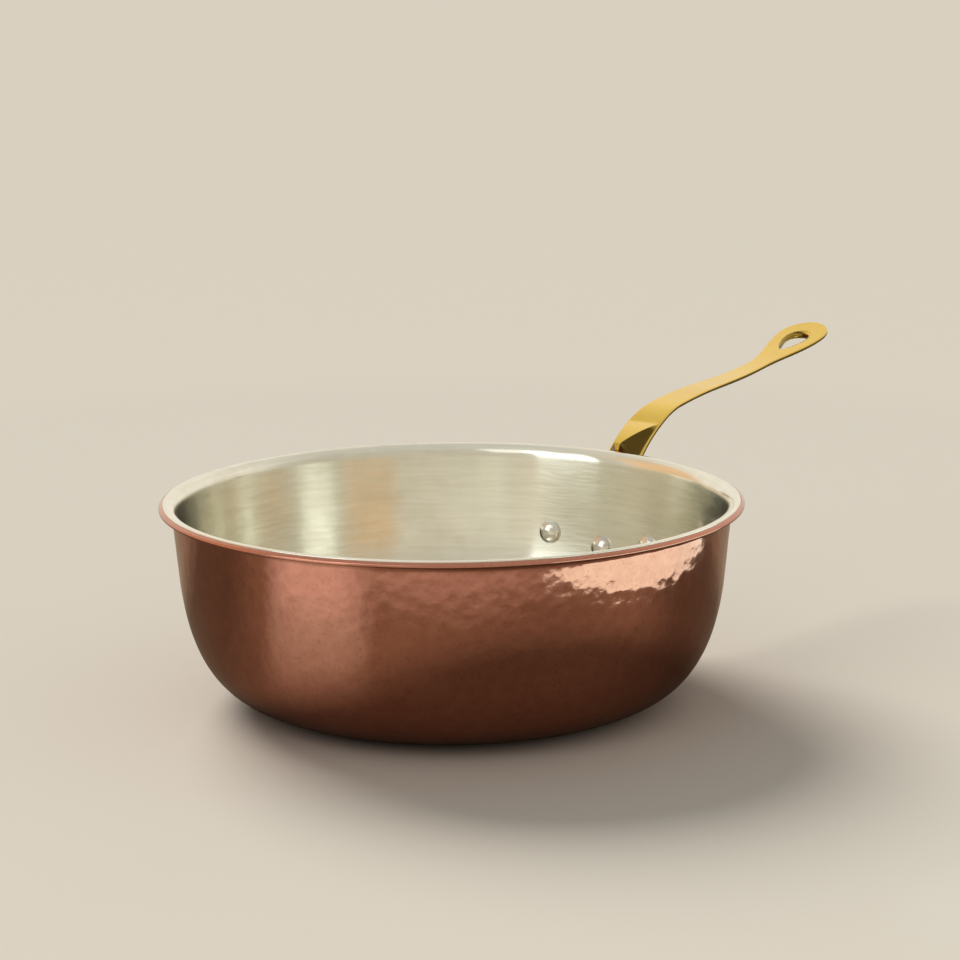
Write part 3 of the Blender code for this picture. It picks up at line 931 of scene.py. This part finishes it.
def build_streaks():
    group, given, result = new_group(
        "streaks round the pan",
        {"Across": 900.0, "Along": 6.0, "Detail": 4.0, "Wobble": 0.3}, "Streaks")
    spot = object_place(group)
    parts = place(group, "SeparateXYZ", None, {"Vector": spot}).outputs
    flat = place(group, "CombineXYZ", None, {"X": parts["X"], "Y": parts["Y"]}).outputs[0]
    radius = vector_maths(group, "LENGTH", flat)
    heading = vector_maths(group, "NORMALIZE", flat)
    heading = place(group, "VectorMath", {"operation": "SCALE"}, {
        "Vector": heading, "Scale": given["Along"]}).outputs[0]
    run = maths(group, "ADD", parts["Z"], radius)
    sway = maths(group, "MULTIPLY", noise_at(group, heading, SWAY_SCALE, 1.0), given["Wobble"])
    across = maths(group, "MULTIPLY_ADD", run, given["Across"],
                   maths(group, "MULTIPLY", sway, SWAY_REACH))
    lift = place(group, "CombineXYZ", None, {"Z": across}).outputs[0]
    spot = vector_maths(group, "ADD", heading, lift)
    feed(group, result["Streaks"], noise_at(group, spot, 1.0, given["Detail"], 0.6))
    return group


STREAKS = build_streaks()


# %% Group: clouds of tarnish
SPOT_SHARE = 0.35
COVER_RANGE = 0.6
FULL_COVER_AT = 0.12
CLOUD_FADE = 0.25


def build_tarnish():
    """Soft clouds with finer spots inside them, from 0 for bright to 1 for dull."""
    group, given, result = new_group(
        "clouds of tarnish", {"Size": 18.0, "Spots": 260.0, "Cover": 0.5}, "Mask")
    clouds = noise_at(group, object_place(group), given["Size"], 4.0, 0.55)
    spots = noise_at(group, object_place(group), given["Spots"], 2.0, 0.6)
    both = maths(group, "MULTIPLY_ADD", spots, SPOT_SHARE,
                 maths(group, "MULTIPLY", clouds, 1.0 - SPOT_SHARE))
    edge = maths(group, "SUBTRACT", 1.0, given["Cover"])
    low = maths(group, "MULTIPLY_ADD", edge, COVER_RANGE, FULL_COVER_AT)
    feed(group, result["Mask"], stretch(group, both, low, maths(group, "ADD", low, CLOUD_FADE)))
    return group


TARNISH = build_tarnish()


# %% Group: hairline scratches
SCRATCH_PULL = (0.12, 1.6, 1.0)


def build_scratches():
    """Hairlines from handling: thin bands where a stretched noise passes its middle value."""
    group, given, result = new_group(
        "hairline scratches", {"Scale": 60.0, "Turn": 0.4, "Width": 0.01}, "Mask")
    turned = place(group, "VectorRotate", {"rotation_type": "Z_AXIS"}, {
        "Vector": object_place(group), "Angle": given["Turn"]}).outputs[0]
    pulled = vector_maths(group, "MULTIPLY", turned, SCRATCH_PULL)
    bands = noise_at(group, pulled, given["Scale"], 1.0)
    off_middle = maths(group, "ABSOLUTE", maths(group, "SUBTRACT", bands, 0.5))
    feed(group, result["Mask"], stretch(group, off_middle, 0.0, given["Width"], 1.0, 0.0))
    return group


SCRATCHES = build_scratches()


# %% Start a material
def new_material(name, values):
    """Material, its node tree and its shader's inputs, some of them set by name."""
    material = bpy.data.materials.new(name)
    material.use_nodes = True
    tree = material.node_tree
    inputs = tree.nodes["Principled BSDF"].inputs
    for label, value in values.items():
        feed(tree, inputs[label], value)
    return material, tree, inputs


def new_metal(name, base, roughness):
    return new_material(name, {"Metallic": 1.0, "Base Color": base, "Roughness": roughness})


def attribute(tree, name):
    return place(tree, "Attribute", {"attribute_name": name}).outputs["Fac"]


def add_bump(tree, inputs, height, distance):
    bump = place(tree, "Bump", None, {"Height": height, "Distance": distance})
    feed(tree, inputs["Normal"], bump.outputs["Normal"])


# %% [markdown]
# Copper
#
# The outside is hammered and then polished to a mirror, with a warm film of tarnish. The bigger
# hammer marks are in the mesh. The finest ones, two or three millimetres across, are a bump,
# because so small a mark would need millions of faces.

# %% Copper of the body
COPPER_BRIGHT = colour(0.57, 0.252, 0.183)
COPPER_WARM = colour(0.38, 0.142, 0.095)
SPECK_SCALE = 620.0
SPECK_FADE = (0.52, 0.72)
SPECK_SHARE = 0.32
FILM_SHARE = 0.25
DISH_SHARE = 0.25
COPPER_ROUGH = (0.05, 0.08)
MARKS_ROUGH = 0.03
GRAIN_SCALE = 1100.0
GRAIN_SHARE = 0.3
COPPER_BUMP = 0.00002


def make_copper():
    material, tree, inputs = new_metal("hammered copper", COPPER_BRIGHT, 0.1)
    spot = object_place(tree)
    film = use_group(tree, TARNISH, {"Size": 9.0, "Spots": 60.0, "Cover": 0.5})
    marks = use_group(tree, STREAKS, {"Across": 700.0, "Along": 9.0})
    specks = stretch(tree, noise_at(tree, spot, SPECK_SCALE, 2.0), *SPECK_FADE)
    # The centres of the hammer dishes are painted darker: partly tarnish left in the hollows,
    # partly painted shade.
    dull = maths(tree, "MULTIPLY", attribute(tree, "dished"), DISH_SHARE)
    dull = maths(tree, "MULTIPLY_ADD", film, FILM_SHARE, dull)
    dull = maths(tree, "MULTIPLY_ADD", specks, SPECK_SHARE, dull)
    feed(tree, inputs["Base Color"], mixed(tree, dull, COPPER_BRIGHT, COPPER_WARM))
    rough = stretch(tree, film, 0.0, 1.0, *COPPER_ROUGH)
    feed(tree, inputs["Roughness"], maths(tree, "MULTIPLY_ADD", marks, MARKS_ROUGH, rough))
    cells = place(tree, "TexVoronoi", {"feature": "SMOOTH_F1"}, {
        "Vector": spot, "Scale": 360.0, "Smoothness": 0.6}).outputs
    grain = noise_at(tree, spot, GRAIN_SCALE, 2.0)
    height = maths(tree, "MULTIPLY_ADD", grain, GRAIN_SHARE, cells["Distance"])
    add_bump(tree, inputs, height, COPPER_BUMP)
    return material


# %% [markdown]
# Tin
#
# Wiped tin is pale and slightly warm, softer in its shine than copper, and streaked round the pan
# where the pad passed. Cooking leaves faint yellow and grey clouds in it.

# %% Tin of the lining
TIN_PALE = colour(0.90, 0.895, 0.83)
TIN_STAINED = colour(0.78, 0.76, 0.66)
WIPE_FADE = (0.35, 0.7)
WIPE_SHARE = 0.4
STAIN_SHARE = 0.5
FINE_FADE = (0.3, 0.7)
TIN_ROUGH = (0.12, 0.20)
STAIN_ROUGH = 0.05
WIPED_ONE_WAY = 0.85
QUARTER_TURN = 0.25
FINE_SHARE = 0.3
TIN_BUMP = 0.00002


def make_tin():
    material, tree, inputs = new_metal("wiped tin", TIN_PALE, 0.3)
    wide = use_group(
        tree, STREAKS, {"Across": 420.0, "Along": 4.0, "Detail": 3.0, "Wobble": 0.1})
    fine = use_group(tree, STREAKS, {"Across": 1400.0, "Along": 7.0, "Detail": 3.0})
    stain = use_group(tree, TARNISH, {"Size": 11.0, "Spots": 90.0, "Cover": 0.5})
    both = maths(tree, "MULTIPLY_ADD", stretch(tree, wide, *WIPE_FADE), WIPE_SHARE,
                 maths(tree, "MULTIPLY", stain, STAIN_SHARE))
    feed(tree, inputs["Base Color"], mixed(tree, both, TIN_PALE, TIN_STAINED))
    rough = stretch(tree, fine, *FINE_FADE, *TIN_ROUGH)
    feed(tree, inputs["Roughness"], maths(tree, "MULTIPLY_ADD", stain, STAIN_ROUGH, rough))
    inputs["Anisotropic"].default_value = WIPED_ONE_WAY
    inputs["Anisotropic Rotation"].default_value = QUARTER_TURN
    round_the_pan = place(tree, "Tangent", {"direction_type": "RADIAL", "axis": "Z"}).outputs
    feed(tree, inputs["Tangent"], round_the_pan["Tangent"])
    add_bump(tree, inputs, maths(tree, "MULTIPLY_ADD", fine, FINE_SHARE, wide), TIN_BUMP)
    return material


# %% [markdown]
# Brass
#
# The handle is cast, filed and polished along its length. It is a clear yellow with a little brown
# in the clouds, and fine lines where it was filed. Its hollows, sides and underside are a dark
# brass: partly unpolished casting, partly painted shade.

# %% Brass of the handle
BRASS_BRIGHT = colour(0.90, 0.63, 0.13)
BRASS_AGED = colour(0.82, 0.55, 0.09)
BRASS_UNPOLISHED_AND_SHADED = colour(0.13, 0.085, 0.02)
AGED_SHARE = 0.6
BRASS_ROUGH = (0.10, 0.18)
SCRATCH_ROUGH = 0.06
UNWORN_ROUGH = 0.15
FILED_PULL = (0.15, 1.0, 1.0)
FILED_SCALE = 1200.0
FILED_SHARE = 0.06
CAST_SCALE = 90.0
BRASS_BUMP = 0.00005


def make_brass():
    material, tree, inputs = new_metal("polished brass", BRASS_BRIGHT, 0.15)
    polished_and_lit = attribute(tree, "polished_and_lit")
    cloud = use_group(tree, TARNISH, {"Size": 28.0, "Spots": 400.0, "Cover": 0.45})
    scratch = use_group(tree, SCRATCHES, {"Scale": 160.0, "Turn": 0.25, "Width": 0.02})
    polished = mixed(tree, maths(tree, "MULTIPLY", cloud, AGED_SHARE), BRASS_BRIGHT, BRASS_AGED)
    # Dark brass where the mask is low: partly unpolished casting, partly painted shade on the
    # sides, underside and hollows.
    feed(tree, inputs["Base Color"], mixed(tree, polished_and_lit, BRASS_UNPOLISHED_AND_SHADED, polished))
    rough = stretch(tree, cloud, 0.0, 1.0, *BRASS_ROUGH)
    rough = maths(tree, "MULTIPLY_ADD", scratch, SCRATCH_ROUGH, rough)
    unpolished_and_shaded = maths(tree, "SUBTRACT", 1.0, polished_and_lit)
    feed(tree, inputs["Roughness"], maths(tree, "MULTIPLY_ADD", unpolished_and_shaded, UNWORN_ROUGH, rough))
    pulled = vector_maths(tree, "MULTIPLY", object_place(tree), FILED_PULL)
    filed = noise_at(tree, pulled, FILED_SCALE, 3.0)
    cast = noise_at(tree, object_place(tree), CAST_SCALE, 1.0)
    add_bump(tree, inputs, maths(tree, "MULTIPLY_ADD", filed, FILED_SHARE, cast), BRASS_BUMP)
    return material


# %% [markdown]
# Rivet metal
#
# The rivets are copper too, but the heads inside the pan were tinned with the lining. So one
# material turns from tin to copper with the distance from the pan's axis.

# %% Metal of the rivets
RIVET_TIN = colour(0.80, 0.79, 0.75)
RIVET_DULL = colour(0.42, 0.36, 0.29)
TIN_STOPS = (WALL_TOP_RADIUS, WALL_TOP_RADIUS + 0.001)
DULL_SHARE = 0.4
RIVET_ROUGH = (0.07, 0.14)
PIT_SCALE = 700.0
RIVET_BUMP = 0.00003


def make_rivet_metal():
    material, tree, inputs = new_metal("rivet metal", RIVET_TIN, 0.2)
    spot = object_place(tree)
    flat = vector_maths(tree, "MULTIPLY", spot, (1.0, 1.0, 0.0))
    outside = stretch(tree, vector_maths(tree, "LENGTH", flat), *TIN_STOPS)
    dull = use_group(tree, TARNISH, {"Size": 120.0, "Spots": 900.0, "Cover": 0.5})
    metal = mixed(tree, outside, RIVET_TIN, COPPER_BRIGHT)
    feed(tree, inputs["Base Color"], mixed(
        tree, maths(tree, "MULTIPLY", dull, DULL_SHARE), metal, RIVET_DULL))
    feed(tree, inputs["Roughness"], stretch(tree, dull, 0.0, 1.0, *RIVET_ROUGH))
    add_bump(tree, inputs, noise_at(tree, spot, PIT_SCALE, 3.0), RIVET_BUMP)
    return material


# %% Give every piece its metal and its place
stands_for(copper_shell, "copper_body", make_copper())
stands_for(tin_coat, "tin_lining", make_tin())
stands_for(handle_casting, "handle", make_brass())
rivet_metal = make_rivet_metal()
for side, pin in rivet_pins.items():
    stands_for(pin, "rivet_" + side, rivet_metal)

# %% [markdown]
# Floor and light
#
# Polished metal shows its surroundings more than itself. The floor is a wide pale disc. A soft
# lamp hangs in front. A tall window at the left lights only the metal: the tin on the far wall
# shows it as a pale upright band. The sun comes last and gives the pan its shadow.

# %% Lay the floor
FLOOR_RADIUS = 14.0
FLOOR_DROP = 0.0004
FLOOR_PALE = colour(0.66, 0.615, 0.54)
DISC_SIDES = 96


def lay_disc(name, radius, drop, material):
    """A level disc, a little below the pan's base."""
    disc = bmesh.new()
    bmesh.ops.create_circle(disc, cap_ends=True, segments=DISC_SIDES, radius=radius)
    bmesh.ops.translate(disc, verts=disc.verts, vec=(0.0, 0.0, -drop))
    piece = make_piece(name, disc, 30)
    piece.data.materials.append(material)
    return piece


floor_finish = {"Base Color": FLOOR_PALE, "Roughness": 0.9, "Specular IOR Level": 0.1}
floor = lay_disc("floor", FLOOR_RADIUS, FLOOR_DROP, new_material("pale floor", floor_finish)[0])

# %% Hang the lamps
def hang_lamp(name, azimuth, distance, height, size, power, tint, aim=(0.0, 0.0, 0.05)):
    """A soft rectangle of light: azimuth 0 is behind the camera, 90 degrees to its right."""
    light = bpy.data.lights.new(name, "AREA")
    light.shape = "RECTANGLE"
    light.size, light.size_y = size
    light.energy = power
    light.color = tint
    lamp = add_object(name, light)
    spot = way_to(math.radians(azimuth)) * distance + Vector((0.0, 0.0, height))
    way = Vector(aim) - spot
    lamp.matrix_world = Matrix.Translation(spot) @ way.to_track_quat("-Z", "Y").to_matrix().to_4x4()
    lamp.visible_camera = False
    return lamp


hang_lamp("front_lamp", azimuth=-35, distance=1.6, height=1.5, size=(1.0, 1.0), power=1.8,
          tint=(1.0, 0.98, 0.95))
left_window = hang_lamp(
    "left_window", azimuth=-55, distance=1.2, height=0.65, size=(0.70, 1.1), power=2.5,
    tint=(0.92, 1.0, 0.98), aim=(0.0, 0.0, 0.4))
left_window.visible_diffuse = False

# %% [markdown]
# What the metal mirrors
#
# Copper that mirrors only a pale room looks flat and pink. A photographer lays a dark cloth round
# it, leaves one pale gap in front for a soft glow, and stands a bright card at one side. Both lie
# low round the pan. They show in the metal only, so the floor stays pale and plain.

# %% Keep a piece out of everything but the metal
def show_in_metal_only(piece):
    piece.visible_camera = False
    piece.visible_diffuse = False
    piece.visible_shadow = False


# %% Lay the dark cloth
CLOTH_MAIN = colour(0.33, 0.273, 0.196)
CLOTH_SIDES = colour(0.15, 0.118, 0.082)
GAP_NEAR = colour(0.66, 0.67, 0.58)
GAP_FAR = colour(1.0, 1.0, 0.95)
GAP_START = (0.0, -0.04)
CLOTH_CENTRE = 0.30
CLOTH_RADIUS = 0.65
CLOTH_EDGE = 0.09
GAP_AZIMUTH = math.radians(-51.5)
GAP_WIDTH = math.radians(25)
GAP_FADES_IN = (0.09, 0.25)
GAP_BRIGHTENS = (0.25, 0.33)
BESIDE_PAN = 0.04
SIDES_FADE = (0.05, 0.19)


def lay_cloth():
    material, tree, inputs = new_material(
        "dark cloth", {"Roughness": 1.0, "Specular IOR Level": 0.0})
    spot = object_place(tree)
    away = vector_maths(tree, "DOT_PRODUCT", spot, from_camera(0.0, 1.0))
    heading = vector_maths(tree, "NORMALIZE", vector_maths(
        tree, "SUBTRACT", spot, from_camera(*GAP_START)))
    aimed = vector_maths(tree, "DOT_PRODUCT", heading, way_to(GAP_AZIMUTH))
    radius = vector_maths(tree, "LENGTH", spot)
    gap = maths(tree, "MULTIPLY", stretch(tree, aimed, math.cos(GAP_WIDTH), 1.0),
                stretch(tree, radius, *GAP_FADES_IN))
    gap_colour = mixed(tree, stretch(tree, radius, *GAP_BRIGHTENS), GAP_NEAR, GAP_FAR)
    reach = vector_maths(tree, "LENGTH", vector_maths(
        tree, "SUBTRACT", spot, from_camera(0.0, CLOTH_CENTRE)))
    cover = stretch(tree, reach, CLOTH_RADIUS - CLOTH_EDGE, CLOTH_RADIUS, 1.0, 0.0)
    from_sides = maths(tree, "ABSOLUTE", maths(tree, "SUBTRACT", away, BESIDE_PAN))
    dark = mixed(tree, stretch(tree, from_sides, *SIDES_FADE), CLOTH_SIDES, CLOTH_MAIN)
    feed(tree, inputs["Base Color"], mixed(tree, gap, dark, gap_colour))
    feed(tree, inputs["Alpha"], maths(tree, "MAXIMUM", cover, gap))
    show_in_metal_only(
        lay_disc("cloth", CLOTH_CENTRE + CLOTH_RADIUS, FLOOR_DROP / 2, material))


lay_cloth()

# %% Stand the bent card
CARD_START = (0.17, -0.291)
CARD_CENTRE = (-0.486238, 0.234907)
CARD_SWEEP = math.radians(29.5464)
CARD_HEIGHT = 0.075
CARD_STEPS = 32
CARD_LIGHT = colour(0.74, 1.0, 0.92)
CARD_STRENGTH = 2.2


def stand_card():
    arc = bmesh.new()
    foot = arc.verts.new(from_camera(*CARD_START))
    head = arc.verts.new(from_camera(*CARD_START, CARD_HEIGHT))
    bmesh.ops.spin(
        arc, geom=[foot, head, arc.edges.new((foot, head))], cent=from_camera(*CARD_CENTRE),
        axis=(0, 0, 1), angle=CARD_SWEEP, steps=CARD_STEPS)
    card = make_piece("bright_card", arc, 60)
    material = new_material("bright card", {
        "Base Color": colour(0.0, 0.0, 0.0), "Emission Color": CARD_LIGHT,
        "Emission Strength": CARD_STRENGTH})[0]
    card.data.materials.append(material)
    show_in_metal_only(card)


stand_card()

# %% [markdown]
# Sun and room
#
# A wide soft sun from behind the pan gives it its shadow. The room is only a colour for each
# direction: walls, a ceiling, and one warm stretch of wall at the left, so that the tin shows a
# warm band beside the pale one.

# %% Let a wide soft sun in from behind
SUN_AZIMUTH = math.radians(-150)
SUN_HEIGHT = math.radians(38)
SUN_WIDTH = math.radians(34)
SUN_STRENGTH = 3.2

sun_light = bpy.data.lights.new("low_sun", "SUN")
sun_light.energy = SUN_STRENGTH
sun_light.angle = SUN_WIDTH
sun_light.color = (1.0, 0.97, 0.92)
sun = add_object("low_sun", sun_light)
sun.matrix_world = (Matrix.Rotation(CAMERA_AZIMUTH + SUN_AZIMUTH, 4, "Z")
                    @ Matrix.Rotation(math.pi / 2 - SUN_HEIGHT, 4, "X"))
sun.visible_glossy = False

# %% Fill the room with soft light
BACK_WALL = colour(0.92, 0.85, 0.73)
FRONT_WALL = colour(0.60, 0.545, 0.44)
WARM_WALL = colour(0.88, 0.58, 0.33)
WARM_AZIMUTH = math.radians(-108)
WARM_FADE = (math.cos(math.radians(30)), math.cos(math.radians(12)))
WALLS_MEET = (-0.3, 0.3)
CEILING = colour(0.64, 0.61, 0.53)
WALLS_END = 0.45
CEILING_STARTS = 0.95
FILL_LIGHT = colour(0.42, 0.415, 0.40)


def fill_room():
    """Walls and a ceiling for camera and metal, a warm wall for metal, soft fill for the rest."""
    world = bpy.data.worlds.new("studio room")
    bpy.context.scene.world = world
    world.use_nodes = True
    tree = world.node_tree
    way = place(tree, "TexCoord").outputs["Generated"]
    facing = vector_maths(tree, "DOT_PRODUCT", way, way_to(math.pi))
    height = place(tree, "SeparateXYZ", None, {"Vector": way}).outputs["Z"]
    walls = mixed(tree, stretch(tree, facing, *WALLS_MEET), FRONT_WALL, BACK_WALL)
    ray = place(tree, "LightPath").outputs
    level = vector_maths(tree, "NORMALIZE", vector_maths(tree, "MULTIPLY", way, (1.0, 1.0, 0.0)))
    beside = vector_maths(tree, "DOT_PRODUCT", level, way_to(WARM_AZIMUTH))
    warm = maths(tree, "MULTIPLY", stretch(tree, beside, *WARM_FADE), ray["Is Glossy Ray"])
    walls = mixed(tree, warm, walls, WARM_WALL)
    room = mixed(tree, stretch(tree, height, WALLS_END, CEILING_STARTS), walls, CEILING)
    seen = maths(tree, "MAXIMUM", ray["Is Camera Ray"], ray["Is Glossy Ray"])
    feed(tree, tree.nodes["Background"].inputs["Color"], mixed(tree, seen, FILL_LIGHT, room))


fill_room()
bpy.context.scene.view_settings.view_transform = "Standard"
